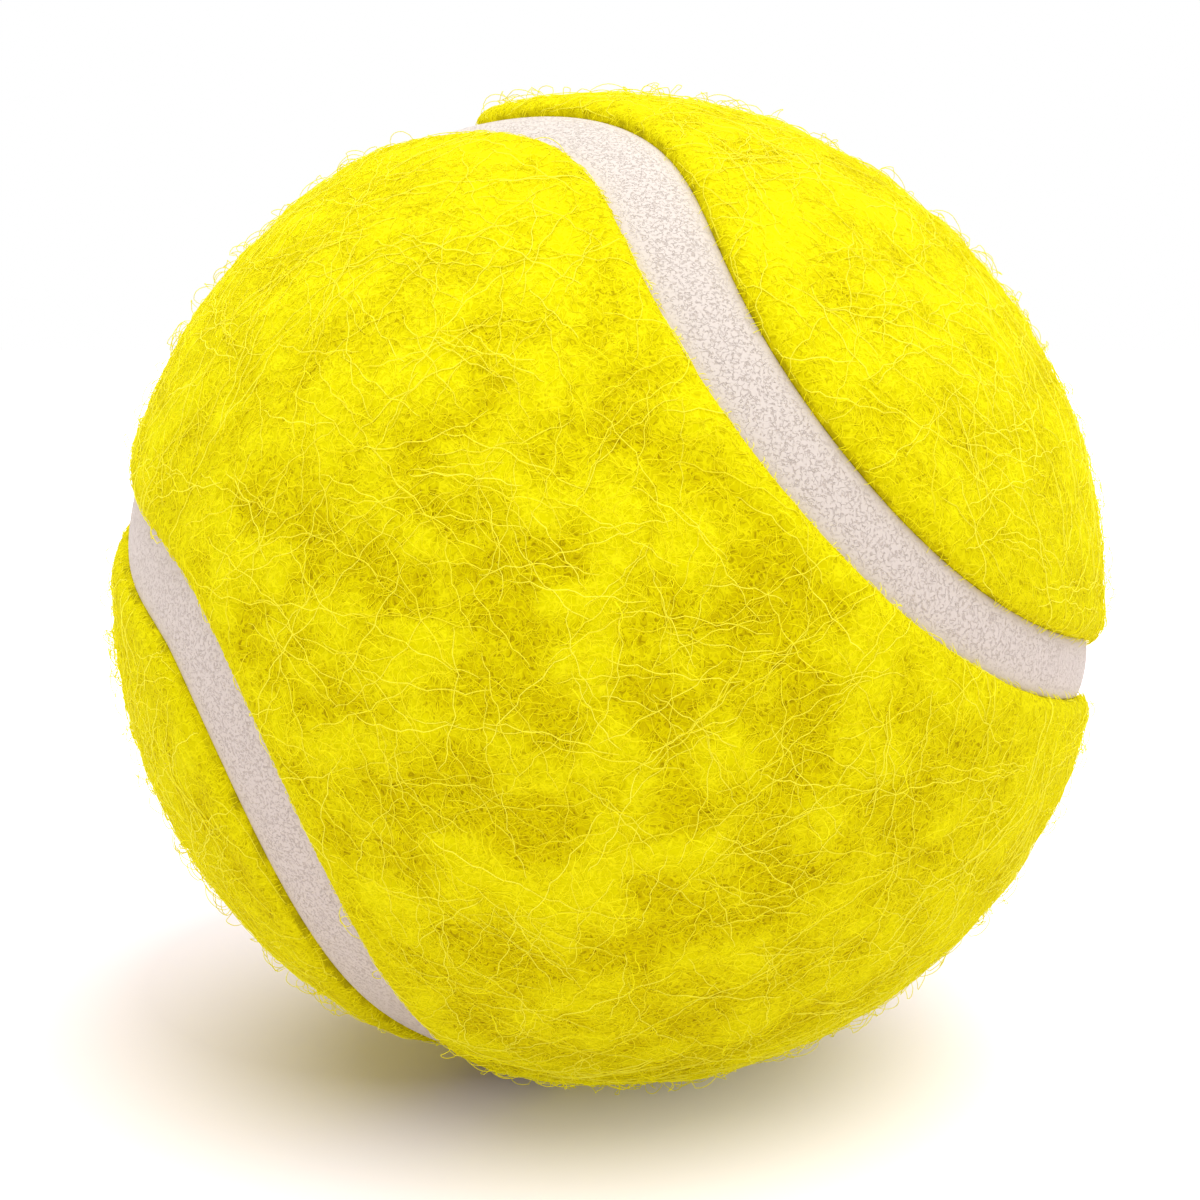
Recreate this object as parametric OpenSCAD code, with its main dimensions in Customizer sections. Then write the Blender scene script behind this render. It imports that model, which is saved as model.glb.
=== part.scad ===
// Tennis ball, in millimetres: a hollow rubber core of two cemented half shells, a coat of
// cement, two interlocked dog-bone panels of felt, each a nap on a woven scrim, and the
// rubber seam that fills the gap between the panels.
// The origin is the ball's centre, and +Z is up as the ball lies.

/* [Ball] */
// Diameter of the ball over its nap
ball_d = 66.8; // [65.4:0.1:68.6]
// Roll of the cover about the middle of its panels, in degrees
lie_roll = -7.3; // [-180:0.1:180]
// Tilt of the cover about the left-to-right axis, in degrees
lie_tilt = -114.4; // [-180:0.1:180]
// Turn of the cover about the vertical, in degrees
lie_turn = -37.7; // [-180:0.1:180]

/* [Core] */
// Thickness of the core's rubber wall
core_wall = 3.5; // [2.5:0.1:4.5]
// Thickness of the cement between the rims of the half shells
joint_t = 0.2; // [0.1:0.05:0.4]
// Radius of the bead of cement that is pressed out into the hollow
joint_bead = 0.6; // [0.3:0.1:1]
// Thickness of the coat of cement between the core and the cover
coat_t = 0.2; // [0.1:0.05:0.4]

/* [Felt] */
// Thickness of the woven scrim
scrim_t = 0.5; // [0.3:0.1:0.8]
// Height of the nap over the scrim
nap_t = 2.7; // [2:0.1:3.2]
// Width of the nap's rolled edge along the seam
roll_w = 2; // [1:0.1:2.2]
// Drop of the nap's rolled edge down to the seam
roll_h = 0.8; // [0.4:0.05:0.8]

/* [Seam] */
// Width of the seam, on average
seam_w = 5; // [4:0.1:5.5]
// Depth of the seam's middle under the top of the nap
seam_recess = 0.9; // [0.5:0.05:1.2]
// Drop from the seam's middle to its sides
seam_crown = 0.3; // [0.3:0.05:0.5]

/* [Seam path] */
// Swing of the seam from the ball's equator, in degrees
seam_swing = 60; // [58:0.5:61]
// Flattening of the two lobes of a panel, in degrees
seam_square = 5; // [3:0.5:6]
// Lean of the seam into the panels' waists, in degrees
seam_lean = 18.4; // [16:0.2:20]
// Hook at the shoulders of the lobes, in degrees
seam_hook = 1.6; // [0:0.2:2]
// Drift of the hand-laid seam from its regular path, as a share of what the photo's ball shows
drift_share = 1; // [0:0.1:1]

/* [Hidden] */
$fn = 96;

// Colours
rubber_grey = [0.23, 0.23, 0.24];
cement_cream = [0.83, 0.76, 0.55];
scrim_straw = [0.87, 0.85, 0.55];
nap_yellow = [0.93, 0.9, 0.03];
seam_pale = [0.88, 0.83, 0.8];

// Radii of the layers, from the nap inwards
ball_r = ball_d / 2;
scrim_r = ball_r - nap_t;
coat_r = scrim_r - scrim_t;
core_r = coat_r - coat_t;
hollow_r = core_r - core_wall;
seam_top_r = ball_r - seam_recess;
seam_side_r = seam_top_r - seam_crown;

// How far a cut runs past what it cuts
overrun = 1;

// Places along the seam, and steps of each shape across it
STATIONS = 144;
NAP_STEPS = 6;
SCRIM_STEPS = 4;
ROLL_ANGLES = [0, 22.5, 45, 67.5, 90];
DOME_SHARES = [-1, -0.8, -0.4, 0, 0.4, 0.8, 1];

// Drift of the seam in degrees: a sine and a cosine part for one wave round the ball, for two,
// and on to six
DRIFT_LAT = [-3.9, 2.3, 1.5, 1.5, -1.8, -2.5, -1.1, -1.7, 1.3, -1.6, 0.4, 2.9];
DRIFT_LON = [4.3, -2.1, 3.4, 0, -2.2, 2.1, -1.8, 6, 2.4, -1.7, 0, 5.5];
// The same parts for the drift of its width, as shares of seam_w
DRIFT_WIDTH_SHARES = [-0.02, -0.041, -0.145, -0.118, 0.008, -0.034, 0, 0, 0, 0, 0, 0];

// The middle of a panel's lobe, as an angle from the middle of the panel
lobe_angle = 94;
// Which way the lobes of each panel lie from its middle, with and without the drift
LOBES_A = [-45, -49.5];
LOBES_B = [45, 44];
// Share of the lobe angle that keeps the fan of rows inside the lobe
fan_share = 0.06;
// Angle that a direction along the seam is measured over
nudge = 0.05;

function unit(v) = v / norm(v);
// The angle at the centre of an arc
function arc_angle(length, r) = length / r * 180 / PI;

// The seam's middle line: its latitude and longitude swing as t goes once round, 0 to 360
function waves(t) = [for (k = [1:6]) each [sin(k * t), cos(k * t)]];
// The angle from the middle line to the seam's sides, which lie closer here and further there
function half_angle(t) = arc_angle(
    seam_w / 2 * (1 + drift_share * DRIFT_WIDTH_SHARES * waves(t)), seam_top_r);
function seam_lat(t) = seam_swing * sin(2 * t) + seam_square * sin(6 * t)
    + drift_share * DRIFT_LAT * waves(t);
function seam_lon(t) = t - seam_lean * sin(4 * t) - seam_hook * sin(8 * t)
    + drift_share * DRIFT_LON * waves(t);
function on_ball(lat, lon) = [cos(lat) * cos(lon), cos(lat) * sin(lon), sin(lat)];
function seam_dir(t) = on_ball(seam_lat(t), seam_lon(t));
function seam_run(t) = unit(seam_dir(t + nudge) - seam_dir(t - nudge));
// A direction beside the seam, to its left where the angle off is positive
function beside(t, off) = cos(off) * seam_dir(t) + sin(off) * cross(seam_dir(t), seam_run(t));

// A direction on the great circle from a to b
function between(a, b, share) = let (w = acos(a * b))
    (sin((1 - share) * w) * a + sin(share * w) * b) / sin(w);

// A panel lies left of the seam where hand is 1, and right of it where hand is -1.
// Its stations start at the tip of one lobe and go round the whole edge.
function station(i, hand) = hand * ((i + 0.5) * 360 / STATIONS - 45);
// Both sides of a panel share the rows' ends along its spine
function spine_row(i) = i < STATIONS / 2 ? i : STATIONS - 1 - i;
function spine_dir(row, hand) = let (
        u = (row + 0.5) * 360 / STATIONS,
        along = lobe_angle * (cos(u) - fan_share * cos(3 * u)) / (1 - fan_share),
        lobes = hand > 0 ? LOBES_A : LOBES_B
    ) cos(along) * [0, 0, hand]
    + sin(along) * on_ball(0, lobes[0] + drift_share * (lobes[1] - lobes[0]));

// Two triangles, or one where the last two corners are the same point; the shorter
// diagonal is the one that leaves the row nearest the tip
function patch(a, b, c, d, from_tip) = c == d ? [[a, c, b]]
    : from_tip ? [[a, d, b], [b, d, c]] : [[a, c, b], [a, d, c]];

// A solid block over one panel: a wall along the seam from foot_r up, an edge that may be
// rolled, and a top at top_r that meets along the panel's spine
module panel_block(hand, foot_r, top_r, roll_w, roll_h, steps) {
    edge = [for (a = roll_w > 0 ? ROLL_ANGLES : [90])
        [arc_angle(roll_w * (1 - cos(a)), top_r), top_r - roll_h * (1 - sin(a))]];
    columns = 1 + len(edge) + steps - 1;
    half = STATIONS / 2;
    rings = [for (i = [0:STATIONS - 1]) let (
            t = station(i, hand),
            side = half_angle(t),
            start = beside(t, hand * (side + arc_angle(roll_w, top_r))),
            end = spine_dir(spine_row(i), hand)
        ) each concat(
            [foot_r * beside(t, hand * side)],
            [for (e = edge) e[1] * beside(t, hand * (side + e[0]))],
            [for (k = [1:steps - 1]) top_r * between(start, end, k / steps)])];
    spine = [for (r = [top_r, foot_r]) for (row = [0:half - 1]) r * spine_dir(row, hand)];
    top = STATIONS * columns;
    foot = top + half;
    faces = [for (i = [0:STATIONS - 1]) let (
            j = (i + 1) % STATIONS,
            here = i * columns,
            next = j * columns,
            from_tip = i % half < half / 2
        ) each concat(
            [for (k = [0:columns - 2])
                each patch(here + k, next + k, next + k + 1, here + k + 1, from_tip)],
            patch(here + columns - 1, next + columns - 1,
                top + spine_row(j), top + spine_row(i), from_tip),
            patch(next, here, foot + spine_row(i), foot + spine_row(j), !from_tip))];
    polyhedron(concat(rings, spine), faces);
}

// The core lies level, so its joint is the ball's horizontal middle plane
module core_half(side) {
    difference() {
        sphere(core_r);
        sphere(hollow_r);
        translate([0, 0, side * (joint_t / 2 - core_r)]) cube(2 * core_r, center = true);
    }
}

module core_half_lower() {
    color(rubber_grey) core_half(-1);
}

module core_half_upper() {
    color(rubber_grey) core_half(1);
}

// A flat ring between the rims, with a half-round bead where it is pressed out into the hollow
module core_joint_cement() {
    color(cement_cream) rotate_extrude() {
        intersection() {
            translate([hollow_r - joint_bead / 2, -joint_t / 2])
                square([core_wall + joint_bead, joint_t]);
            circle(core_r);
        }
        intersection() {
            translate([hollow_r, 0]) circle(joint_bead);
            circle(hollow_r);
        }
    }
}

module cover_cement() {
    color(cement_cream) difference() {
        sphere(coat_r);
        sphere(core_r);
    }
}

// Turns a piece of the cover to how the ball lies
module lay() {
    rotate([lie_tilt, 0, lie_turn]) rotate([0, 0, lie_roll]) children();
}

module felt_scrim(hand) {
    color(scrim_straw) lay() difference() {
        intersection() {
            panel_block(hand, coat_r - overrun, scrim_r + overrun, 0, 0, SCRIM_STEPS);
            sphere(scrim_r);
        }
        sphere(coat_r);
    }
}

module felt_scrim_a() {
    felt_scrim(1);
}

module felt_scrim_b() {
    felt_scrim(-1);
}

module felt_nap(hand) {
    color(nap_yellow) lay() difference() {
        panel_block(hand, scrim_r - overrun, ball_r, roll_w, roll_h, NAP_STEPS);
        sphere(scrim_r);
    }
}

module felt_nap_a() {
    felt_nap(1);
}

module felt_nap_b() {
    felt_nap(-1);
}

// One closed ribbon: its walls stand on the cement, and its top is domed
module seam_rubber() {
    foot_r = coat_r - overrun;
    // Each point is a share of the way to the seam's side, and a radius
    outline = concat([[-1, foot_r]],
        [for (x = DOME_SHARES) [x, seam_side_r + seam_crown * sqrt(1 - x * x)]],
        [[1, foot_r]]);
    columns = len(outline);
    points = [for (i = [0:STATIONS - 1]) let (t = station(i, 1)) for (p = outline)
        p[1] * beside(t, p[0] * half_angle(t))];
    faces = [for (i = [0:STATIONS - 1]) for (k = [0:columns - 1]) let (
            here = i * columns,
            next = (i + 1) % STATIONS * columns,
            m = (k + 1) % columns
        ) each patch(here + k, next + k, next + m, here + m, false)];
    color(seam_pale) lay() difference() {
        polyhedron(points, faces);
        sphere(coat_r);
    }
}

core_half_lower();
core_half_upper();
core_joint_cement();
cover_cement();
felt_scrim_a();
felt_scrim_b();
felt_nap_a();
felt_nap_b();
seam_rubber();
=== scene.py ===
"""A tennis ball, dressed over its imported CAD: felt panels of teased nap with loose fibres, woven
scrims, the embossed rubber seam, and finishes for the rubber core and the cement.
Everything is in metres, in the frame of the CAD: +Z up as the ball lies, the camera on -Y."""
import math
from functools import partial

import bpy
import numpy as np
from mathutils import Matrix, Vector, noise


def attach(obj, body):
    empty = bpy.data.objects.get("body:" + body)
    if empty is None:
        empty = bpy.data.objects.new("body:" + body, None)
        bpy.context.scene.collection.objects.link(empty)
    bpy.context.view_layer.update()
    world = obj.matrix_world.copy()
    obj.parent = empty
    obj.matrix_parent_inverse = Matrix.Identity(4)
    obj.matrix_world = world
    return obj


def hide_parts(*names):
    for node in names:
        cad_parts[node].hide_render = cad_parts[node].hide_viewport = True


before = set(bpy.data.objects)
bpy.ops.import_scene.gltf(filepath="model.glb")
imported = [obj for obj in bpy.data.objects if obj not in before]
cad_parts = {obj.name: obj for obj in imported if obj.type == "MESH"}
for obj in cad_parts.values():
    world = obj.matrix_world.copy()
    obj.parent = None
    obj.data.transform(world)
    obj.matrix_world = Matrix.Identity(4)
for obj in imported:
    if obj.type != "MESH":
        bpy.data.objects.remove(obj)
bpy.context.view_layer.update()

MM = 0.001

# The cover's sizes, as in the CAD source
BALL_R = 33.4 * MM
NAP_T = 2.7 * MM
SCRIM_T = 0.5 * MM
ROLL_WIDTH = 2.0 * MM
ROLL_DROP = 0.8 * MM
SEAM_W = 5.0 * MM
SEAM_RECESS = 0.9 * MM
SEAM_CROWN = 0.3 * MM
SCRIM_R = BALL_R - NAP_T
COAT_R = SCRIM_R - SCRIM_T
SEAM_TOP_R = BALL_R - SEAM_RECESS
SEAM_SIDE_R = SEAM_TOP_R - SEAM_CROWN

# The seam's path and how the cover lies, as in the CAD source
SWING, SQUARE, LEAN, HOOK = np.radians([60, 5, 18.4, 1.6])
# Drift of the hand-laid seam: a sine and a cosine part for one wave round the ball, for two, and on
DRIFT_LAT = np.radians([[-3.9, 2.3], [1.5, 1.5], [-1.8, -2.5], [-1.1, -1.7], [1.3, -1.6], [0.4, 2.9]])
DRIFT_LON = np.radians([[4.3, -2.1], [3.4, 0.0], [-2.2, 2.1], [-1.8, 6.0], [2.4, -1.7], [0.0, 5.5]])
# Drift of the seam's width, as shares of it: the same parts for one wave, for two and for three
DRIFT_WIDTH = np.array([[-0.02, -0.041], [-0.145, -0.118], [0.008, -0.034]])
LIE_TILT, LIE_TURN, LIE_ROLL = np.radians([-114.4, -37.7, -7.3])
# A panel's spine runs this far from its middle into both lobes, the way that LOBES gives for hands
# 1 and -1, and its points crowd towards its ends by the share
LOBE_ANGLE = math.radians(94)
LOBES = {1: math.radians(-49.5), -1: math.radians(44)}
FAN_SHARE = 0.06
# A small step along the seam, which gives its direction
NUDGE = math.radians(0.05)


# The seam's path

def on_ball(lat, lon):
    """Directions at these latitudes and longitudes."""
    return np.stack([np.cos(lat) * np.cos(lon), np.cos(lat) * np.sin(lon), np.sin(lat)], -1)


def seam_dir(t):
    """Directions of the seam's middle line, for t in radians once round."""
    waves = np.outer(t, np.arange(1, len(DRIFT_LAT) + 1))
    drift_lat = np.sin(waves) @ DRIFT_LAT[:, 0] + np.cos(waves) @ DRIFT_LAT[:, 1]
    drift_lon = np.sin(waves) @ DRIFT_LON[:, 0] + np.cos(waves) @ DRIFT_LON[:, 1]
    return on_ball(SWING * np.sin(2 * t) + SQUARE * np.sin(6 * t) + drift_lat,
                   t - LEAN * np.sin(4 * t) - HOOK * np.sin(8 * t) + drift_lon)


def half_angle(t):
    """Angles from the seam's middle line to its sides."""
    waves = np.outer(t, np.arange(1, len(DRIFT_WIDTH) + 1))
    drift = np.sin(waves) @ DRIFT_WIDTH[:, 0] + np.cos(waves) @ DRIFT_WIDTH[:, 1]
    return SEAM_W / 2 * (1 + drift) / SEAM_TOP_R


def unit(v):
    """The same directions with a length of 1."""
    return v / np.linalg.norm(v, axis=-1, keepdims=True)


def seam_side(t):
    """Directions square to the seam, pointing to its left."""
    return unit(np.cross(seam_dir(t), seam_dir(t + NUDGE) - seam_dir(t - NUDGE)))


def beside(t, shares, offs=0.0):
    """Directions beside the seam, a row for each t and a column for each share of the way to the
    seam's side, moved on by an angle off."""
    angles = half_angle(t)[:, None] * np.asarray(shares) + np.asarray(offs)
    return (np.cos(angles)[:, :, None] * seam_dir(t)[:, None]
            + np.sin(angles)[:, :, None] * seam_side(t)[:, None])


def between(a, b, shares):
    """Directions on the great circles from a to b, a column for each share."""
    w = np.arccos(np.sum(a * b, -1))[:, None, None]
    s = np.asarray(shares)[None, :, None]
    return (np.sin((1 - s) * w) * a[:, None] + np.sin(s * w) * b[:, None]) / np.sin(w)


def lay(points):
    """Turns points of the cover to how it lies."""
    lie = (Matrix.Rotation(LIE_TURN, 3, "Z") @ Matrix.Rotation(LIE_TILT, 3, "X")
           @ Matrix.Rotation(LIE_ROLL, 3, "Z"))
    return points @ np.array(lie).T


def smooth(x):
    """Eases from 0 to 1 as x goes from 0 to 1."""
    x = np.clip(x, 0, 1)
    return x * x * (3 - 2 * x)


# Meshes

def new_mesh(name, points, faces, **values):
    """A smooth mesh object at the origin, with a value or a vector at each point."""
    mesh = bpy.data.meshes.new(name)
    mesh.from_pydata(points.tolist(), [], faces)
    for key, array in values.items():
        kind, field = ("FLOAT", "value") if array.ndim == 1 else ("FLOAT_VECTOR", "vector")
        mesh.attributes.new(key, kind, "POINT").data.foreach_set(field, array.ravel())
    mesh.polygons.foreach_set("use_smooth", [True] * len(faces))
    mesh.update()
    made = bpy.data.objects.new(name, mesh)
    bpy.context.scene.collection.objects.link(made)
    return made


# The panel's spine counts as this far from its edge
SPINE_OFF = 20 * MM


class Panel:
    """The grid of one dog-bone panel. Each station on its edge carries a strip that runs from
    the spine along the underside, round the edge and over the top back to the spine."""

    def __init__(self, hand, under_r, top_r, edge, stations, under_steps, top_steps):
        self.stations = stations
        half = stations // 2
        station = np.arange(stations)
        t = hand * ((station + 0.5) * 2 * math.pi / stations - math.pi / 4)
        # Two stations that face each other across the panel share a row of the spine
        self.row = np.where(station < half, station, stations - 1 - station)
        turn = (np.arange(half) + 0.5) * 2 * math.pi / stations
        along = LOBE_ANGLE * (np.cos(turn) - FAN_SHARE * np.cos(3 * turn)) / (1 - FAN_SHARE)
        self.pole = np.array([0, 0, hand])
        self.end = on_ball(np.array(0.0), np.array(LOBES[hand]))
        spine = np.cos(along)[:, None] * self.pole + np.sin(along)[:, None] * self.end
        rim = beside(t, [hand] * len(edge), [hand * off for off, r in edge])
        under = between(rim[:, 0], spine[self.row], np.arange(under_steps - 1, 0, -1) / under_steps)
        top = between(rim[:, -1], spine[self.row], np.arange(1, top_steps) / top_steps)
        strip = np.concatenate([under, rim, top], 1)
        self.columns = strip.shape[1]
        self.first_edge = under_steps - 1
        radii = np.full(self.columns, top_r)
        radii[:self.first_edge] = under_r
        radii[self.first_edge:self.first_edge + len(edge)] = [r for off, r in edge]
        self.dirs = np.concatenate([strip.reshape(-1, 3), spine, spine])
        self.radii = np.concatenate([np.tile(radii, stations),
                                     np.full(half, top_r), np.full(half, under_r)])
        self.column = np.concatenate([np.tile(np.arange(self.columns), stations),
                                      np.full(half, self.columns), np.full(half, -1)])
        # How far each point is from the panel's edge, and which way the seam lies
        edge_dir = beside(t, [hand])[:, 0]
        off = BALL_R * np.arccos(np.clip(np.sum(strip * edge_dir[:, None], -1), -1, 1))
        far = np.full(half, SPINE_OFF)
        self.rim = np.concatenate([off.ravel(), far, far])
        out = np.repeat(-hand * seam_side(t), self.columns, 0)
        self.out = np.concatenate([out, spine * 0, spine * 0])

    def faces(self, from_column=-1):
        """The faces, or only those from a column up to the spine on top."""
        made = []
        top_spine = self.stations * self.columns
        under_spine = top_spine + self.stations // 2
        for station in range(self.stations):
            following = (station + 1) % self.stations
            here, after = station * self.columns, following * self.columns
            a, b = self.row[station], self.row[following]
            for k in range(max(from_column, 0), self.columns - 1):
                made.append((here + k, after + k, after + k + 1, here + k + 1))
            last = (here + self.columns - 1, after + self.columns - 1)
            made.append((*last, top_spine + b) if a == b else (*last, top_spine + b, top_spine + a))
            if from_column < 0:
                ends = (under_spine + a,) if a == b else (under_spine + a, under_spine + b)
                made.append((*ends, after, here))
        return [tuple(int(v) for v in face) for face in made]


# The felt's relief: soft puffs, ridges between them, and small tufts on both

PUFF_PITCH = 3.6 * MM
RIDGE_PITCH = PUFF_PITCH * 1.3
TUFT_PITCH = 1.6 * MM
PUFF_RISE = 0.24 * MM
RIDGE_RISE = 0.16 * MM
TUFT_RISE = 0.12 * MM
# How far each of them shifts the nap's tone, from 0 in a hollow to 1 on a puff. The tone is painted
# shade and light: the finishes darken the nap and its fibres in the hollows and brighten them on the
# puffs
PUFF_TONE = 0.7
RIDGE_TONE = 0.5
TUFT_TONE = 0.35
RIDGE_MEAN = 0.25
# The mat lies this far under the fibres' tops, and its relief fades in beside the panel's edge
MAT_DROP = 0.2 * MM
FADE_FROM = 0.3 * MM
FADE_WIDTH = 2.2 * MM
# The nap is ruffled most about this direction, from this cosine and over this span of it, and it
# keeps the calm share of its relief further off
RUFFLED = np.array([-0.1, -0.97, -0.22])
RUFFLE_FROM = 0.55
RUFFLE_SPAN = 0.4
CALM = 0.45
# The tone's middle and contrast where the nap is ruffled, how much paler calm nap is, and the
# tone of the rolled edge. Painted shade and light: about RUFFLED, the side that faces the camera,
# the nap is darker and its hollows take deeper painted shade, and further off it is painted paler
RUFFLED_SHADE_TONE = 0.42
CONTRAST = 1.3
PAINTED_PALENESS = 0.42
EDGE_TONE = 0.55


def relief(dirs, seed):
    """The relief's heights in metres and its tones from 0 in a hollow to 1 on a puff."""
    heights = np.empty(len(dirs))
    tones = np.empty(len(dirs))
    offset = Vector((seed * 17.3, seed * 5.9, seed * 11.1))
    for i, place in enumerate(dirs * BALL_R):
        place = Vector(place)
        puff = noise.noise(place / PUFF_PITCH + offset)
        ridge = 0.5 - abs(noise.noise(place / RIDGE_PITCH - offset)) - RIDGE_MEAN
        tuft = noise.noise(place / TUFT_PITCH + offset * 2)
        heights[i] = PUFF_RISE * puff + RIDGE_RISE * ridge + TUFT_RISE * tuft
        tones[i] = 0.5 + PUFF_TONE * puff + RIDGE_TONE * ridge + TUFT_TONE * tuft
    return heights, np.clip(tones, 0, 1)


ROLL = np.radians(np.linspace(0, 90, 8))
FELT_EDGE = [(0.0, SCRIM_R)] + [
    (ROLL_WIDTH * (1 - math.cos(a)) / BALL_R, BALL_R - ROLL_DROP * (1 - math.sin(a)))
    for a in ROLL]


def felt_mat(name, hand, seed):
    """The felt's nap as one closed mat, and a copy of its outside that the fibres grow on."""
    panel = Panel(hand, SCRIM_R, BALL_R, FELT_EDGE, stations=720, under_steps=10, top_steps=44)
    rise, tone = relief(panel.dirs, seed)
    ruffle = CALM + (1 - CALM) * smooth((lay(panel.dirs) @ RUFFLED - RUFFLE_FROM) / RUFFLE_SPAN)
    rise = rise * (1 + ruffle) / 2
    # Painted shade and light by direction: darker with more contrast about RUFFLED, paler further off
    tone = RUFFLED_SHADE_TONE + CONTRAST * ruffle * (tone - 0.5) + PAINTED_PALENESS * (1 - ruffle)
    outside = panel.column >= panel.first_edge + 1
    fade = smooth((panel.rim - FADE_FROM) / FADE_WIDTH)
    radii = panel.radii + np.where(outside, fade * (rise - MAT_DROP), 0)
    points = lay(panel.dirs * radii[:, None])
    # The floor presses the nap flat where the ball rests
    points[:, 2] = np.maximum(points[:, 2], -BALL_R)
    tone = np.where(panel.rim < ROLL_WIDTH, tone + (EDGE_TONE - tone) * (1 - fade), tone)
    values = {"puff": tone, "rim": panel.rim, "out": lay(panel.out)}
    mat = new_mesh(name, points, panel.faces(), **values)
    skin = new_mesh(name + "_skin", points, panel.faces(panel.first_edge + 1), **values)
    return mat, skin


# The scrim's threads, and the length that its UVs count as 1
WEAVE_PITCH = 0.55 * MM
WEAVE_SPAN = 100 * MM


def scrim_sheet(name, hand):
    """The woven backing: a thin closed sheet under the nap, with lengths along its threads."""
    panel = Panel(hand, COAT_R, SCRIM_R, [(0.0, COAT_R), (0.0, SCRIM_R)],
                  stations=360, under_steps=16, top_steps=16)
    made = new_mesh(name, lay(panel.dirs * panel.radii[:, None]), panel.faces())
    along = np.arctan2(panel.dirs @ panel.end, panel.dirs @ panel.pole)
    across = np.arcsin(np.clip(panel.dirs @ np.cross(panel.pole, panel.end), -1, 1))
    lengths = SCRIM_R * np.stack([along, across], -1) / WEAVE_SPAN
    corner = np.empty(len(made.data.loops), dtype=int)
    made.data.loops.foreach_get("vertex_index", corner)
    made.data.uv_layers.new(name="threads").data.foreach_set("uv", lengths[corner].ravel())
    return made


def seam_ribbon(name, stations=1080, dome_steps=22, wall_steps=3):
    """The seam: a closed ribbon with a flat foot, upright walls and a domed top."""
    x = np.sin(np.linspace(-math.pi / 2, math.pi / 2, dome_steps + 1))
    dome = [(s, SEAM_SIDE_R + SEAM_CROWN * math.sqrt(max(0, 1 - s * s))) for s in x]
    walls = [COAT_R + (SEAM_SIDE_R - COAT_R) * k / wall_steps for k in range(wall_steps)]
    outline = [(-1, r) for r in walls] + dome + [(1, r) for r in reversed(walls)]
    outline += [(0.5, COAT_R), (0, COAT_R), (-0.5, COAT_R)]
    t = (np.arange(stations) + 0.5) * 2 * math.pi / stations
    dirs = beside(t, [s for s, r in outline])
    points = dirs * np.array([r for s, r in outline])[None, :, None]
    ring = len(outline)
    faces = []
    for station in range(stations):
        here, after = station * ring, (station + 1) % stations * ring
        for k in range(ring):
            m = (k + 1) % ring
            faces.append((here + k, after + k, after + m, here + m))
    across = np.tile(np.array([abs(s) for s, r in outline], dtype=float), stations)
    return new_mesh(name, lay(points.reshape(-1, 3)), faces, across=across)


# Node trees

def linear(code):
    """A colour written as an sRGB hex value, turned to linear."""
    parts = [int(code[k:k + 2], 16) / 255 for k in (1, 3, 5)]
    return (*[c / 12.92 if c <= 0.04045 else ((c + 0.055) / 1.055) ** 2.4 for c in parts], 1.0)


def add(tree, kind, inputs=None, **settings):
    """Adds a node with its settings. An input is named or numbered, and gets a value, or a link
    from another node's output or from the first output that it shows."""
    node = tree.nodes.new(kind)
    for key, value in settings.items():
        setattr(node, key, value)
    for key, value in (inputs or {}).items():
        socket = node.inputs[key] if isinstance(key, int) else next(
            s for s in node.inputs if s.name == key and s.enabled)
        if isinstance(value, bpy.types.Node):
            value = next(s for s in value.outputs if s.enabled)
        if isinstance(value, bpy.types.NodeSocket):
            tree.links.new(value, socket)
        else:
            socket.default_value = value
    return node


def seen_directly(tree):
    """1 for the camera's own rays and those that gloss and glass pass on, 0 for all others."""
    path = add(tree, "ShaderNodeLightPath")
    seen = path.outputs["Is Camera Ray"]
    for ray in ("Is Glossy Ray", "Is Transmission Ray"):
        seen = add(tree, "ShaderNodeMath", {0: seen, 1: path.outputs[ray]}, operation="MAXIMUM")
    return seen


# The seeds of two random values on the same roots are this far apart
SEED_STEP = 31.0


def new_tree(name, inputs):
    """A geometry tree with these named inputs, and the group of their sockets."""
    tree = bpy.data.node_groups.new(name, "GeometryNodeTree")
    for key, kind in inputs.items():
        tree.interface.new_socket(key, in_out="INPUT", socket_type="NodeSocket" + kind)
    tree.interface.new_socket("Fibres", in_out="OUTPUT", socket_type="NodeSocketGeometry")
    return tree, tree.nodes.new("NodeGroupInput").outputs


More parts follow.
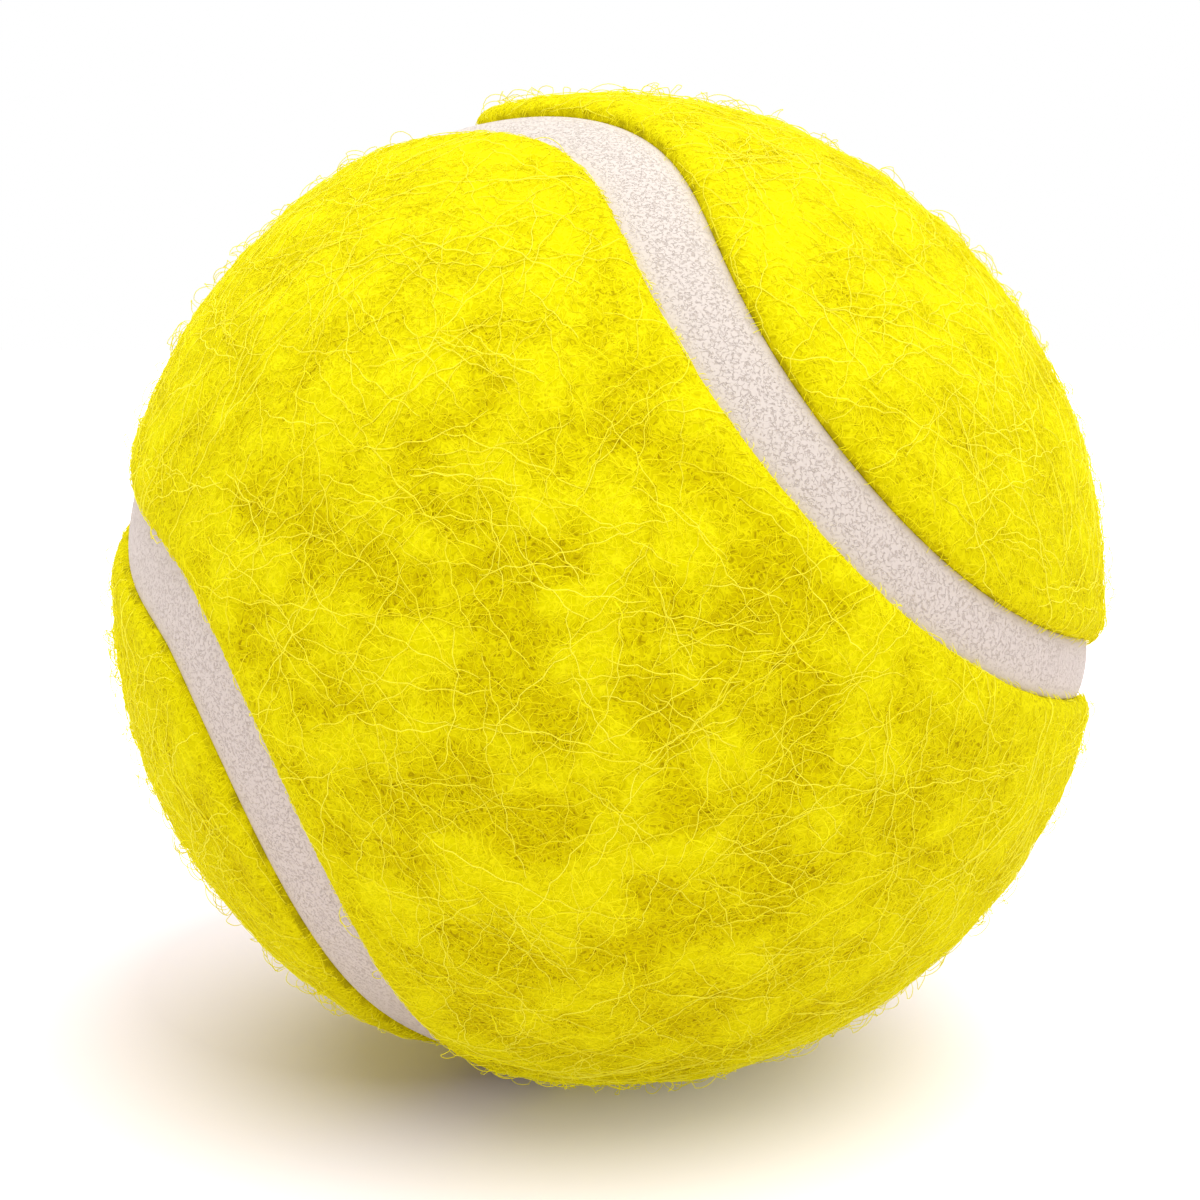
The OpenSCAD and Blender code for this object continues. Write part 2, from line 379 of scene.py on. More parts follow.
def rows_of_points(tree, given, ranges):
    """Random roots on the felt, each with its own value in each range, and a row of points at
    each root, one behind the other: their place in the row from 0 to 1 and the row's number."""
    felt = add(tree, "GeometryNodeObjectInfo", {"Object": given["Felt"]}).outputs["Geometry"]
    rim = add(tree, "GeometryNodeInputNamedAttribute", {"Name": "rim"}, data_type="FLOAT")
    lowest = add(tree, "ShaderNodeMath", {0: rim, 1: given["Rim from"]}, operation="GREATER_THAN")
    highest = add(tree, "ShaderNodeMath", {0: rim, 1: given["Rim to"]}, operation="LESS_THAN")
    wanted = add(tree, "ShaderNodeMath", {0: lowest, 1: highest}, operation="MULTIPLY")
    points = add(tree, "GeometryNodeDistributePointsOnFaces",
                 {"Mesh": felt, "Selection": wanted, "Density": given["Roots per square metre"],
                  "Seed": given["Seed"]}, distribute_method="RANDOM")
    own = {}
    for k, (name, (low, high)) in enumerate(ranges.items()):
        seed = add(tree, "ShaderNodeMath", {0: given["Seed"], 1: SEED_STEP * (k + 1)},
                   operation="ADD")
        value = add(tree, "FunctionNodeRandomValue", {"Min": low, "Max": high, "Seed": seed},
                    data_type="FLOAT")
        points = add(tree, "GeometryNodeStoreNamedAttribute",
                     {"Geometry": points, "Name": name, "Value": value}, data_type="FLOAT")
        own[name] = add(tree, "GeometryNodeInputNamedAttribute", {"Name": name}, data_type="FLOAT")
    row = add(tree, "GeometryNodeDuplicateElements",
              {"Geometry": points, "Amount": given["Points"]}, domain="POINT")
    own["step"] = row.outputs["Duplicate Index"]
    last = add(tree, "ShaderNodeMath", {0: given["Points"], 1: 1.0}, operation="SUBTRACT")
    own["share"] = add(tree, "ShaderNodeMath", {0: own["step"], 1: last}, operation="DIVIDE")
    middle = add(tree, "ShaderNodeMath", {0: add(tree, "GeometryNodeInputIndex"), 1: 0.5},
                 operation="ADD")
    number = add(tree, "ShaderNodeMath", {0: middle, 1: given["Points"]}, operation="DIVIDE")
    own["number"] = add(tree, "ShaderNodeMath", {0: number}, operation="FLOOR")
    own["root"] = add(tree, "GeometryNodeInputPosition")
    return felt, row.outputs["Geometry"], own


# A fibre's thickness at its tips and along its body, and how much of its length a tip takes
TIP_SIZE = 0.35
BODY_SIZE = 0.95
TIP_SHARE = 0.15


def join_fibres(tree, given, points, places, own):
    """Moves the points, but none through the floor, joins each row to a three-sided fibre that
    tapers at both ends, and gives it its thickness and its finish."""
    parts = add(tree, "ShaderNodeSeparateXYZ", {"Vector": places})
    height = add(tree, "ShaderNodeMath", {0: parts.outputs["Z"], 1: given["Lowest"]},
                 operation="MAXIMUM")
    places = add(tree, "ShaderNodeCombineXYZ", {"X": parts.outputs["X"], "Y": parts.outputs["Y"],
                                                "Z": height})
    moved = add(tree, "GeometryNodeSetPosition", {"Geometry": points, "Position": places})
    taper = add(tree, "ShaderNodeFloatCurve", {"Value": own["share"]})
    curve = taper.mapping.curves[0]
    curve.points[0].location = (0, TIP_SIZE)
    curve.points[1].location = (1, TIP_SIZE)
    curve.points.new(TIP_SHARE, BODY_SIZE)
    curve.points.new(1 - TIP_SHARE, BODY_SIZE)
    taper.mapping.update()
    kept = add(tree, "GeometryNodeStoreNamedAttribute",
               {"Geometry": moved, "Name": "taper", "Value": taper}, data_type="FLOAT")
    lines = add(tree, "GeometryNodePointsToCurves", {"Points": kept, "Curve Group ID": own["number"],
                                                     "Weight": own["share"]})
    radius = add(tree, "ShaderNodeMath", {0: given["Thickness"], 1: 0.5}, operation="MULTIPLY")
    ring = add(tree, "GeometryNodeCurvePrimitiveCircle", {"Resolution": 3, "Radius": radius},
               mode="RADIUS")
    size = add(tree, "GeometryNodeInputNamedAttribute", {"Name": "taper"}, data_type="FLOAT")
    tubes = add(tree, "GeometryNodeCurveToMesh", {"Curve": lines, "Profile Curve": ring,
                                                  "Scale": size, "Fill Caps": True})
    soft = add(tree, "GeometryNodeSetShadeSmooth", {"Geometry": tubes, "Shade Smooth": True})
    whole = add(tree, "GeometryNodeRealizeInstances", {"Geometry": soft})
    coloured = add(tree, "GeometryNodeSetMaterial", {"Geometry": whole, "Material": given["Finish"]})
    add(tree, "NodeGroupOutput", {"Fibres": coloured})


ROOT_INPUTS = {"Felt": "Object", "Roots per square metre": "Float", "Rim from": "Float",
               "Rim to": "Float", "Seed": "Int", "Points": "Int", "Thickness": "Float",
               "Lowest": "Float", "Finish": "Material"}


# A wandering fibre's second wave, against its first: how much faster it swings, and how far
FLUTTER_PACE = 2.3
FLUTTER_SHARE = 0.45
# Under 1, it flattens the top of a fibre's arch
ARCH_POWER = 0.6


def wandering_fibres():
    """Fibres that lie on the felt. Each takes equal steps, turns as it goes, keeps to the felt's
    surface, and rises over it as a low arch with both ends sunk in the nap."""
    tree, given = new_tree("wandering fibres", ROOT_INPUTS | {
        "Step": "Float", "Bend": "Float", "Wave": "Float", "Wave pitch": "Float",
        "Lift": "Float", "Sink": "Float"})
    full = 2 * math.pi
    felt, points, own = rows_of_points(tree, given, {
        "heading": (0.0, full), "turning": (-1.0, 1.0), "phase": (0.0, full),
        "rise": (0.15, 1.0), "size": (0.65, 1.25), "tone": (0.0, 1.0)})
    put = partial(add, tree)
    # The heading turns steadily and swings in two waves
    phase = put("ShaderNodeMath", {0: own["step"], 1: given["Wave pitch"], 2: own["phase"]},
                operation="MULTIPLY_ADD")
    swing = put("ShaderNodeMath", {0: phase}, operation="SINE")
    faster = put("ShaderNodeMath", {0: phase, 1: FLUTTER_PACE}, operation="MULTIPLY")
    flutter = put("ShaderNodeMath", {0: faster}, operation="SINE")
    waves = put("ShaderNodeMath", {0: flutter, 1: FLUTTER_SHARE, 2: swing},
                operation="MULTIPLY_ADD")
    turned = put("ShaderNodeMath", {0: own["turning"], 1: given["Bend"]}, operation="MULTIPLY")
    heading = put("ShaderNodeMath", {0: turned, 1: own["step"], 2: own["heading"]},
                  operation="MULTIPLY_ADD")
    heading = put("ShaderNodeMath", {0: waves, 1: given["Wave"], 2: heading},
                  operation="MULTIPLY_ADD")
    pace = put("ShaderNodeMath", {0: given["Step"], 1: own["size"]}, operation="MULTIPLY")
    ahead = put("ShaderNodeMath", {0: heading}, operation="COSINE")
    aside = put("ShaderNodeMath", {0: heading}, operation="SINE")
    way = put("ShaderNodeCombineXYZ", {"X": ahead, "Y": aside})
    stride = put("ShaderNodeVectorMath", {0: way, "Scale": pace}, operation="SCALE")
    walked = put("GeometryNodeAccumulateField", {"Value": stride, "Group ID": own["number"]},
                 data_type="FLOAT_VECTOR", domain="POINT").outputs["Trailing"]
    walked = put("ShaderNodeSeparateXYZ", {"Vector": walked})
    # The walk is laid on the plane that touches the ball at the root, then on the felt. The plane's
    # axes come from a direction that is the same for all fibres
    out = own["root"]
    side = (0.31, 0.52, 0.79)
    for axis in ("X", "Y"):
        side = put("ShaderNodeVectorMath", {0: own["root"], 1: side}, operation="CROSS_PRODUCT")
        side = put("ShaderNodeVectorMath", {0: side}, operation="NORMALIZE")
        part = put("ShaderNodeVectorMath", {0: side, "Scale": walked.outputs[axis]},
                   operation="SCALE")
        out = put("ShaderNodeVectorMath", {0: out, 1: part}, operation="ADD")
    out = put("ShaderNodeVectorMath", {0: out}, operation="NORMALIZE")
    above = put("ShaderNodeVectorMath", {0: out, "Scale": BALL_R + NAP_T}, operation="SCALE")
    down = put("ShaderNodeVectorMath", {0: out, "Scale": -1.0}, operation="SCALE")
    ray = put("GeometryNodeRaycast", {"Target Geometry": felt, "Source Position": above,
                                      "Ray Direction": down, "Ray Length": 2 * NAP_T})
    level = put("ShaderNodeVectorMath", {0: out, "Scale": BALL_R - ROLL_DROP / 2},
                operation="SCALE")
    nearest = put("GeometryNodeProximity", {"Geometry": felt, "Sample Position": level},
                  target_element="FACES")
    base = put("GeometryNodeSwitch",
               {"Switch": ray.outputs["Is Hit"], "False": nearest.outputs["Position"],
                "True": ray.outputs["Hit Position"]}, input_type="VECTOR")
    arch = put("ShaderNodeMath", {0: own["share"], 1: math.pi}, operation="MULTIPLY")
    arch = put("ShaderNodeMath", {0: arch}, operation="SINE")
    arch = put("ShaderNodeMath", {0: arch, 1: ARCH_POWER}, operation="POWER")
    highest = put("ShaderNodeMath", {0: given["Lift"], 1: own["rise"]}, operation="MULTIPLY")
    sunk = put("ShaderNodeMath", {0: given["Sink"], 1: -1.0}, operation="MULTIPLY")
    lift = put("ShaderNodeMath", {0: arch, 1: highest, 2: sunk}, operation="MULTIPLY_ADD")
    raised = put("ShaderNodeVectorMath", {0: out, 1: lift, 2: base}, operation="MULTIPLY_ADD")
    join_fibres(tree, given, points, raised, own)
    return tree


def edge_fibres():
    """Short fibres that lean out from the felt's rolled edge over the seam."""
    tree, given = new_tree("edge fibres", ROOT_INPUTS | {"Length": "Float", "Lean": "Float",
                                                         "Droop": "Float"})
    felt, points, own = rows_of_points(tree, given, {
        "lean": (-1.0, 1.0), "size": (0.35, 1.2), "tone": (0.0, 1.0), "curve": (-0.8, 0.8)})
    put = partial(add, tree)
    up = put("ShaderNodeVectorMath", {0: own["root"]}, operation="NORMALIZE")
    out = put("GeometryNodeInputNamedAttribute", {"Name": "out"}, data_type="FLOAT_VECTOR")
    along = put("ShaderNodeVectorMath", {0: up, 1: out}, operation="CROSS_PRODUCT")
    # A fibre leans to one side and curls further that way
    angle = put("ShaderNodeMath", {0: given["Lean"], 1: own["lean"]}, operation="ADD")
    angle = put("ShaderNodeMath", {0: own["curve"], 1: own["share"], 2: angle},
                operation="MULTIPLY_ADD")
    ahead = put("ShaderNodeMath", {0: angle}, operation="COSINE")
    aside = put("ShaderNodeMath", {0: angle}, operation="SINE")
    reach = put("ShaderNodeMath", {0: given["Length"], 1: own["size"]}, operation="MULTIPLY")
    reach = put("ShaderNodeMath", {0: reach, 1: own["share"]}, operation="MULTIPLY")
    square = put("ShaderNodeMath", {0: own["share"], 1: own["share"]}, operation="MULTIPLY")
    droop = put("ShaderNodeMath", {0: given["Droop"], 1: -1.0}, operation="MULTIPLY")
    place = own["root"]
    for way, size, share in ((out, reach, ahead), (along, reach, aside), (up, droop, square)):
        length = put("ShaderNodeMath", {0: size, 1: share}, operation="MULTIPLY")
        place = put("ShaderNodeVectorMath", {0: way, 1: length, 2: place},
                    operation="MULTIPLY_ADD")
    join_fibres(tree, given, points, place, own)
    return tree


# Fibres keep this far above the floor, and grow up to the spine unless their sizes say less
FLOOR_GAP = 0.05 * MM
NO_LIMIT = 1.0


def grow(name, tree, felt, finish, **sizes):
    """Runs a fibre tree over the felt and returns the fibres as a plain mesh."""
    maker = new_mesh(name, np.zeros((1, 3)), [])
    modifier = maker.modifiers.new("fibres", "NODES")
    modifier.node_group = tree
    sizes = {"Felt": felt, "Finish": finish, "Lowest": FLOOR_GAP - BALL_R,
             "Rim to": NO_LIMIT} | sizes
    for item in tree.interface.items_tree:
        if item.in_out == "INPUT":
            modifier[item.identifier] = sizes[item.name]
    bpy.context.view_layer.update()
    mesh = bpy.data.meshes.new_from_object(maker.evaluated_get(
        bpy.context.evaluated_depsgraph_get()))
    maker.modifiers.remove(modifier)
    old = maker.data
    maker.data = mesh
    bpy.data.meshes.remove(old)
    mesh.name = name
    return maker


# Finishes

def new_finish(name):
    """A material with one principled shader, and its tree."""
    made = bpy.data.materials.new(name)
    made.use_nodes = True
    return made, made.node_tree, made.node_tree.nodes["Principled BSDF"]


def bend(tree, where, pitch, reach):
    """Places shaken by a soft noise of this pitch, by up to a quarter of the reach."""
    drift = add(tree, "ShaderNodeTexNoise", {"Vector": where, "Scale": 1 / pitch, "Detail": 1.0})
    drift = add(tree, "ShaderNodeVectorMath", {0: drift.outputs["Color"], 1: (0.5, 0.5, 0.5)},
                operation="SUBTRACT")
    return add(tree, "ShaderNodeVectorMath", {0: drift, 1: (reach,) * 3, 2: where},
               operation="MULTIPLY_ADD")


# A line fades out over this share of its width to each side
LINE_FADE = 0.7


def net_lines(tree, where, pitch, width, shift):
    """A net of thin lines round cells of this pitch, 1 on a line and 0 off it. The shift, in
    metres, keeps nets on one piece from lying on each other."""
    moved = add(tree, "ShaderNodeMapping", {"Vector": where, "Location": shift})
    cells = add(tree, "ShaderNodeTexVoronoi", {"Vector": moved, "Scale": 1 / pitch},
                feature="DISTANCE_TO_EDGE")
    return add(tree, "ShaderNodeMapRange", {"Value": cells, "From Min": 0.0,
                                            "From Max": LINE_FADE * width / pitch,
                                            "To Min": 1.0, "To Max": 0.0},
               interpolation_type="SMOOTHSTEP")


def patches(tree, where, pitch, low, high):
    """Soft patches of this pitch, 0 where the noise is under low and 1 where it is over high."""
    field = add(tree, "ShaderNodeTexNoise", {"Vector": where, "Scale": 1 / pitch, "Detail": 0.0})
    return add(tree, "ShaderNodeMapRange", {"Value": field, "From Min": low, "From Max": high,
                                            "To Min": 0.0, "To Max": 1.0})


def nap_finish():
    """Teased wool and nylon nap, dyed optic yellow: a matt mass of curled fibres that scatter
    light, painted bright on the puffs and painted with olive shade between the fibres in the hollows."""
    made, tree, shader = new_finish("teased_felt_nap")
    where = add(tree, "ShaderNodeTexCoord").outputs["Object"]
    # Fibres bent into curls of about 0.7 mm. Real ones are about 0.03 mm thick, too fine to show,
    # so they are drawn at 0.08 mm
    bent = bend(tree, where, 0.7 * MM, 1.0 * MM)
    lines = net_lines(tree, bent, 0.85 * MM, 0.08 * MM, (0.0, 0.0, 0.0))
    for pitch, shift in ((0.6, 0.013), (1.2, 0.029)):
        more = net_lines(tree, bent, pitch * MM, 0.08 * MM, (shift, -shift, 2 * shift))
        lines = add(tree, "ShaderNodeMath", {0: lines, 1: more}, operation="MAXIMUM")
    # Openings between the curls, 0.1 mm wide and broken into short strokes, painted dark olive as
    # shade, most in the hollows
    shaded_gaps = net_lines(tree, bent, 0.45 * MM, 0.1 * MM, (0.041, 0.017, -0.009))
    breaks = patches(tree, where, 0.35 * MM, 0.42, 0.6)
    shaded_gaps = add(tree, "ShaderNodeMath", {0: shaded_gaps, 1: breaks}, operation="MULTIPLY")
    puff = add(tree, "ShaderNodeAttribute", attribute_name="puff").outputs["Fac"]
    depth = add(tree, "ShaderNodeMapRange", {"Value": puff, "From Min": 0.15, "From Max": 0.8,
                                             "To Min": 0.0, "To Max": 1.0})
    hollow = add(tree, "ShaderNodeMapRange", {"Value": puff, "From Min": 0.25, "From Max": 0.8,
                                              "To Min": 1.0, "To Max": 0.15})
    shaded_gaps = add(tree, "ShaderNodeMath", {0: shaded_gaps, 1: hollow}, operation="MULTIPLY")
    # Painted shade and light: the ground and the curls are darker in the hollows, brighter on the
    # puffs
    ground = add(tree, "ShaderNodeMix", {0: depth, 6: linear("#D0BF00"), 7: linear("#E8E000")},
                 data_type="RGBA")
    ground = add(tree, "ShaderNodeMix", {0: shaded_gaps, 6: ground.outputs[2], 7: linear("#A89200")},
                 data_type="RGBA")
    strand = add(tree, "ShaderNodeMix", {0: depth, 6: linear("#E6DA00"), 7: linear("#F8F010")},
                 data_type="RGBA")
    colour = add(tree, "ShaderNodeMix", {0: lines, 6: ground.outputs[2], 7: strand.outputs[2]},
                 data_type="RGBA")
    # Painted shade: the cut edge is darkened where it meets the seam, as in the crevice between
    # them, broken into dashes by patches of about a millimetre
    rim = add(tree, "ShaderNodeAttribute", attribute_name="rim").outputs["Fac"]
    edge = add(tree, "ShaderNodeMapRange", {"Value": rim, "From Min": 0.01 * MM,
                                            "From Max": 0.05 * MM, "To Min": 0.5, "To Max": 0.0})
    edge_shade_dashes = patches(tree, where, 1.2 * MM, 0.4, 0.65)
    edge = add(tree, "ShaderNodeMath", {0: edge, 1: edge_shade_dashes}, operation="MULTIPLY")
    # The painted crevice shade, dark olive
    colour = add(tree, "ShaderNodeMix", {0: edge, 6: colour.outputs[2], 7: linear("#94840A")},
                 data_type="RGBA")
    tree.links.new(colour.outputs[2], shader.inputs["Base Color"])
    shader.inputs["Roughness"].default_value = 0.95
    shader.inputs["Specular IOR Level"].default_value = 0.05
    bump = add(tree, "ShaderNodeBump", {"Height": lines, "Strength": 0.4, "Distance": 0.06 * MM})
    tree.links.new(bump.outputs["Normal"], shader.inputs["Normal"])
    return made


# Painted light: the fibres glow with their own colour at this strength under any lamp, which lifts
# their shaded sides; it stands in for the dye's fluorescence
PAINTED_GLOW = 0.2


def fibre_finish(name, dark, light):
    """Single nylon and wool fibres, dyed with the nap and a little paler where they catch light."""
    made, tree, shader = new_finish(name)
    # A fibre is paler or darker by chance, and painted darker in the hollows as shade, paler on the
    # puffs as light
    tone = add(tree, "ShaderNodeAttribute", attribute_name="tone").outputs["Fac"]
    puff = add(tree, "ShaderNodeAttribute", attribute_name="puff").outputs["Fac"]
    both = add(tree, "ShaderNodeMath", {0: tone, 1: 0.7, 2: puff}, operation="MULTIPLY_ADD")
    share = add(tree, "ShaderNodeMapRange", {"Value": both, "From Min": 0.0, "From Max": 1.5,
                                             "To Min": 0.0, "To Max": 1.0})
    colour = add(tree, "ShaderNodeMix", {0: share, 6: linear(dark), 7: linear(light)},
                 data_type="RGBA")
    tree.links.new(colour.outputs[2], shader.inputs["Base Color"])
    shader.inputs["Roughness"].default_value = 0.7
    shader.inputs["Specular IOR Level"].default_value = 0.15
    # Painted light: a glow of the fibre's own colour on every side of it, standing in for the dye,
    # which fluoresces and gives back blue and violet light as yellow
    tree.links.new(colour.outputs[2], shader.inputs["Emission Color"])
    shader.inputs["Emission Strength"].default_value = PAINTED_GLOW
    return made


def seam_finish():
    """Vulcanised natural rubber, pale with filler: matt, and embossed with the worm-like marks
    of the cloth that it was cured against."""
    made, tree, shader = new_finish("moulded_seam_rubber")
    where = add(tree, "ShaderNodeTexCoord").outputs["Object"]
    # Grooves 0.06 mm wide round worms of about 0.32 mm, broken here and there
    bent = bend(tree, where, 0.22 * MM, 0.55 * MM)
    grooves = net_lines(tree, bent, 0.32 * MM, 0.06 * MM, (0.0, 0.0, 0.0))
    breaks = patches(tree, where, 0.2 * MM, 0.36, 0.56)
    across = add(tree, "ShaderNodeAttribute", attribute_name="across").outputs["Fac"]
    inside = add(tree, "ShaderNodeMapRange", {"Value": across, "From Min": 0.6, "From Max": 0.95,
                                              "To Min": 1.0, "To Max": 0.1})
    marks = add(tree, "ShaderNodeMath", {0: grooves, 1: inside}, operation="MULTIPLY")
    marks = add(tree, "ShaderNodeMath", {0: marks, 1: breaks}, operation="MULTIPLY")
    # Painted shade: the rubber is coloured darker in the embossed grooves
    colour = add(tree, "ShaderNodeMix", {0: marks, 6: linear("#DED3CA"), 7: linear("#CBBDB3")},
                 data_type="RGBA")
    tree.links.new(colour.outputs[2], shader.inputs["Base Color"])
    shader.inputs["Roughness"].default_value = 0.62
    shader.inputs["Specular IOR Level"].default_value = 0.3
    bump = add(tree, "ShaderNodeBump", {"Height": marks, "Strength": 0.75, "Distance": 0.055 * MM},
               invert=True)
    tree.links.new(bump.outputs["Normal"], shader.inputs["Normal"])
    return made


def scrim_finish():
    """Plain-woven cotton with a latex back: straw threads that pass over and under."""
    made, tree, shader = new_finish("woven_cotton_scrim")
    threads = add(tree, "ShaderNodeUVMap", uv_map="threads")
    # Each thread is one half wave, and the product of the two waves is the weave
    half_waves = math.pi * WEAVE_SPAN / WEAVE_PITCH
    parts = add(tree, "ShaderNodeSeparateXYZ", {"Vector": threads})
    waves = []
    for axis in ("X", "Y"):
        turned = add(tree, "ShaderNodeMath", {0: parts.outputs[axis], 1: half_waves},
                     operation="MULTIPLY")
        waves.append(add(tree, "ShaderNodeMath", {0: turned}, operation="SINE"))
    weave = add(tree, "ShaderNodeMath", {0: waves[0], 1: waves[1]}, operation="MULTIPLY")
    height = add(tree, "ShaderNodeMapRange", {"Value": weave, "From Min": -1.0, "From Max": 1.0,
                                              "To Min": 0.0, "To Max": 1.0})
    # Painted shade: the threads are coloured darker where they pass under each other
    colour = add(tree, "ShaderNodeMix", {0: height, 6: linear("#CBBE86"), 7: linear("#EDE6B8")},
                 data_type="RGBA")
    tree.links.new(colour.outputs[2], shader.inputs["Base Color"])
    shader.inputs["Roughness"].default_value = 0.9
    bump = add(tree, "ShaderNodeBump", {"Height": height, "Strength": 0.8, "Distance": 0.15 * MM})
    tree.links.new(bump.outputs["Normal"], shader.inputs["Normal"])
    return made


# Cured pieces: the size of their mottle, and how far their roughness varies each way
MOTTLE_PITCH = 6 * MM
ROUGH_SPREAD = 0.08


def cured_finish(name, dark, light, rough, grain, depth):
    """Cured rubber or cement: smooth from its mould or its brush, with a soft mottle in its
    colour and a fine grain that breaks up its dull shine."""
    made, tree, shader = new_finish(name)
    where = add(tree, "ShaderNodeTexCoord").outputs["Object"]
    mottle = add(tree, "ShaderNodeTexNoise", {"Vector": where, "Scale": 1 / MOTTLE_PITCH,
                                              "Detail": 4.0})
    colour = add(tree, "ShaderNodeMix", {0: mottle, 6: linear(dark), 7: linear(light)},
                 data_type="RGBA")
    tree.links.new(colour.outputs[2], shader.inputs["Base Color"])
    fine = add(tree, "ShaderNodeTexNoise", {"Vector": where, "Scale": 1 / grain, "Detail": 3.0})
    span = add(tree, "ShaderNodeMapRange", {"Value": fine, "From Min": 0.3, "From Max": 0.7,
                                            "To Min": rough - ROUGH_SPREAD,
                                            "To Max": rough + ROUGH_SPREAD})
    tree.links.new(span.outputs[0], shader.inputs["Roughness"])
    bump = add(tree, "ShaderNodeBump", {"Height": fine, "Strength": 0.5, "Distance": depth})
    tree.links.new(bump.outputs["Normal"], shader.inputs["Normal"])
    return made


nap = nap_finish()
strand = fibre_finish("loose_strands", "#EBE014", "#F7F148")
curl = fibre_finish("felt_curls", "#DED000", "#F3EC0C")
scrim = scrim_finish()
rubber = cured_finish("moulded_core_rubber", "#37373A", "#424246", 0.6, 0.3 * MM, 0.03 * MM)
cement = cured_finish("dried_rubber_cement", "#CDBE86", "#DCCFA0", 0.45, 0.8 * MM, 0.05 * MM)

# The felt panels

walk = wandering_fibres()
lean = edge_fibres()
# Sizes of each kind of fibre. Bend, wave and wave pitch are in radians for each step, and fibres
# are drawn thicker than real ones so that they show
LONG = {"Points": 17, "Step": 0.5 * MM, "Bend": 0.05, "Wave": 0.3, "Wave pitch": 1.5,
        "Lift": 0.3 * MM, "Sink": 0.03 * MM, "Thickness": 0.058 * MM, "Rim from": 1.2 * MM}
THREAD = {"Points": 12, "Step": 0.4 * MM, "Bend": 0.12, "Wave": 0.45, "Wave pitch": 1.4,
          "Lift": 0.22 * MM, "Sink": 0.04 * MM, "Thickness": 0.045 * MM, "Rim from": 0.8 * MM}
CURLY = {"Points": 8, "Step": 0.36 * MM, "Bend": 0.35, "Wave": 0.6, "Wave pitch": 1.5,
         "Lift": 0.2 * MM, "Sink": 0.05 * MM, "Thickness": 0.045 * MM, "Rim from": 0.5 * MM}
FINE = {"Points": 5, "Step": 0.26 * MM, "Bend": 0.9, "Wave": 0.9, "Wave pitch": 1.3,
        "Lift": 0.12 * MM, "Sink": 0.04 * MM, "Thickness": 0.045 * MM, "Rim from": 0.3 * MM}
LOOPS = {"Points": 9, "Step": 0.34 * MM, "Bend": 0.35, "Wave": 0.5, "Wave pitch": 0.9,
         "Lift": 0.95 * MM, "Sink": 0.06 * MM, "Thickness": 0.055 * MM, "Rim from": 1.0 * MM}
EDGE = {"Points": 4, "Thickness": 0.05 * MM, "Rim from": 0.01 * MM, "Rim to": 0.6 * MM,
        "Length": 0.6 * MM, "Lean": 0.5, "Droop": 0.35 * MM}
# The outside of one panel, in square metres
SKIN_AREA = 0.0062
# What grows on a panel, with its tree, finish, sizes and roots on each square metre
GROWTH = [("strands", walk, strand, LONG, 1500 / SKIN_AREA),
          ("threads", walk, curl, THREAD, 2700 / SKIN_AREA),
          ("curls_1", walk, curl, CURLY, 2500 / SKIN_AREA),
          ("curls_2", walk, curl, CURLY, 2500 / SKIN_AREA),
          ("fines", walk, curl, FINE, 6000 / SKIN_AREA),
          ("loops", walk, curl, LOOPS, 1800 / SKIN_AREA),
          ("edge", lean, curl, EDGE, 8 / MM ** 2)]

for side, hand, seed in (("a", 1, 211), ("b", -1, 4)):
    mat, skin = felt_mat("felt_" + side, hand, seed)
    mat.data.materials.append(nap)
    hairs = []
    for k, (name, tree, finish, sizes, roots) in enumerate(GROWTH):
        hairs.append(grow(f"felt_{side}_{name}", tree, skin, finish, Seed=100 * seed + k,
                          **(sizes | {"Roots per square metre": roots})))
    bpy.data.objects.remove(skin)
    backing = scrim_sheet("scrim_" + side, hand)
    backing.data.materials.append(scrim)
    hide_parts("felt_nap_" + side)
    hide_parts("felt_scrim_" + side)
    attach(backing, "root")
    for piece in (mat, *hairs):
        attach(piece, "root")

# The seam

seam = seam_ribbon("seam")
seam.data.materials.append(seam_finish())
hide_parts("seam_rubber")
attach(seam, "root")

# Finishes for the CAD nodes that stay

for node, finish in {"core_half_lower": rubber, "core_half_upper": rubber,
                     "core_joint_cement": cement, "cover_cement": cement}.items():
    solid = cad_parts[node]
    solid.data.materials.clear()
    solid.data.materials.append(finish)

# The floor: white paper. To the camera it also glows from the rim of the ball's shadow outwards, so
# that it is as white there as the photograph's ground, while it lights the ball as plain paper does

FLOOR_HALF = 3.0
SHADOW_MIDDLE = (-0.4 * BALL_R, 0.55 * BALL_R, -BALL_R)
GLOW_FROM = 0.7 * BALL_R
GLOW_TO = 2.0 * BALL_R
FLOOR_GLOW = 0.8
corners = np.array([[-1, -1, 0], [1, -1, 0], [1, 1, 0], [-1, 1, 0]]) * FLOOR_HALF
floor = new_mesh("floor", corners + np.array([0, 0, -BALL_R]), [(0, 1, 2, 3)])
white, tree, shader = new_finish("white_sweep")
shader.inputs["Base Color"].default_value = linear("#E9E1E6")
shader.inputs["Roughness"].default_value = 1.0
shader.inputs["Specular IOR Level"].default_value = 0.0
shader.inputs["Emission Color"].default_value = linear("#FFFFFF")
place = add(tree, "ShaderNodeTexCoord").outputs["Object"]
away = add(tree, "ShaderNodeVectorMath", {0: place, 1: SHADOW_MIDDLE}, operation="DISTANCE")
ground = add(tree, "ShaderNodeMapRange", {"Value": away.outputs["Value"], "From Min": GLOW_FROM,
                                          "From Max": GLOW_TO, "To Min": 0.0,
                                          "To Max": FLOOR_GLOW})
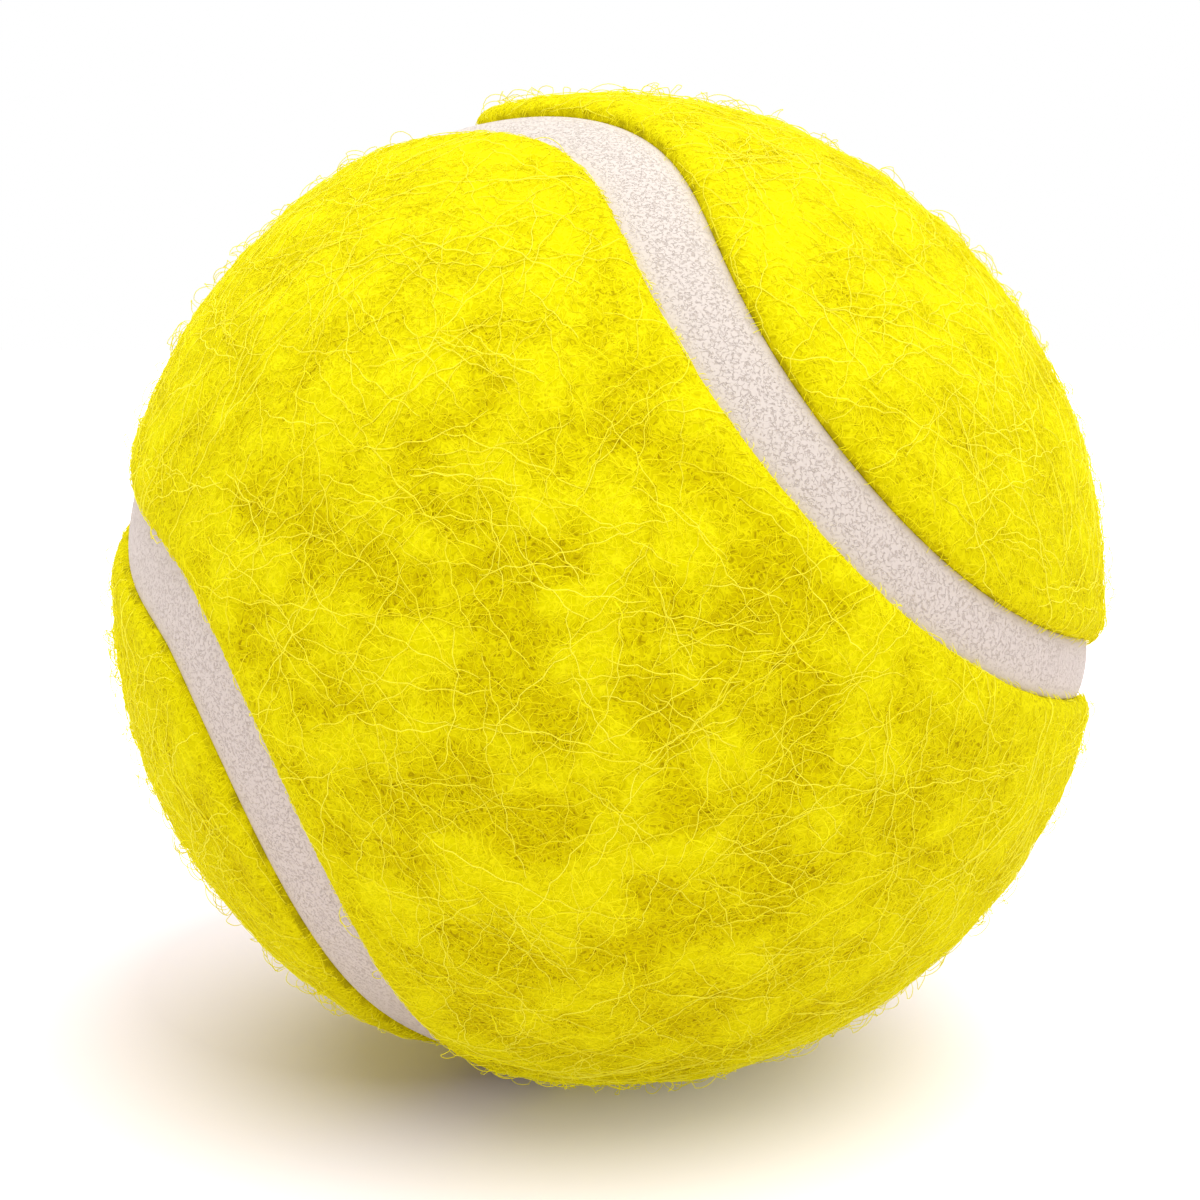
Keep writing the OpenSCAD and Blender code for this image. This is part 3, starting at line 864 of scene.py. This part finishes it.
glow = add(tree, "ShaderNodeMath", {0: seen_directly(tree), 1: ground}, operation="MULTIPLY")
tree.links.new(glow.outputs[0], shader.inputs["Emission Strength"])
floor.data.materials.append(white)

# Light: a white tent all round, brighter to the camera than to the ball, and a wide soft lamp
# nearly overhead, a little to the front and right

TENT_LIGHT = 0.6
world = bpy.data.worlds.new("white_tent")
bpy.context.scene.world = world
world.use_nodes = True
tree = world.node_tree
sky = tree.nodes["Background"]
level = add(tree, "ShaderNodeMapRange", {"Value": seen_directly(tree), "From Min": 0.0,
                                         "From Max": 1.0, "To Min": TENT_LIGHT, "To Max": 1.0})
tree.links.new(level.outputs[0], sky.inputs["Strength"])
sky.inputs["Color"].default_value = linear("#FFFFFF")

LAMP_WAY = Vector((-0.1, 0.08, -0.99))
sun = bpy.data.lights.new("overhead", "SUN")
sun.angle = math.radians(85)
sun.energy = 2.8
lamp = bpy.data.objects.new("overhead", sun)
lamp.rotation_euler = LAMP_WAY.to_track_quat("-Z", "Y").to_euler()
bpy.context.scene.collection.objects.link(lamp)

# The camera: four ball radii from the centre, 8 degrees above the horizon, and framed so that the
# ball has its place and size in a picture of 1200 by 1200 pixels

DISTANCE = 4 * BALL_R
ELEVATION = math.radians(8)
FOCAL_PX = 1927
SIDE_PX = 1200
CENTRE_PX = (608.4, 589.1)
SENSOR = 36
camera = bpy.data.objects.new("camera", bpy.data.cameras.new("camera"))
bpy.context.scene.collection.objects.link(camera)
bpy.context.scene.camera = camera
back = Vector((0, -math.cos(ELEVATION), math.sin(ELEVATION)))
camera.location = back * DISTANCE
camera.rotation_euler = (-back).to_track_quat("-Z", "Y").to_euler()
camera.data.sensor_width = SENSOR
camera.data.lens = SENSOR * FOCAL_PX / SIDE_PX
camera.data.shift_x = (SIDE_PX / 2 - CENTRE_PX[0]) / SIDE_PX
camera.data.shift_y = (CENTRE_PX[1] - SIDE_PX / 2) / SIDE_PX
camera.data.clip_start = 0.01
bpy.context.scene.view_settings.view_transform = "Standard"
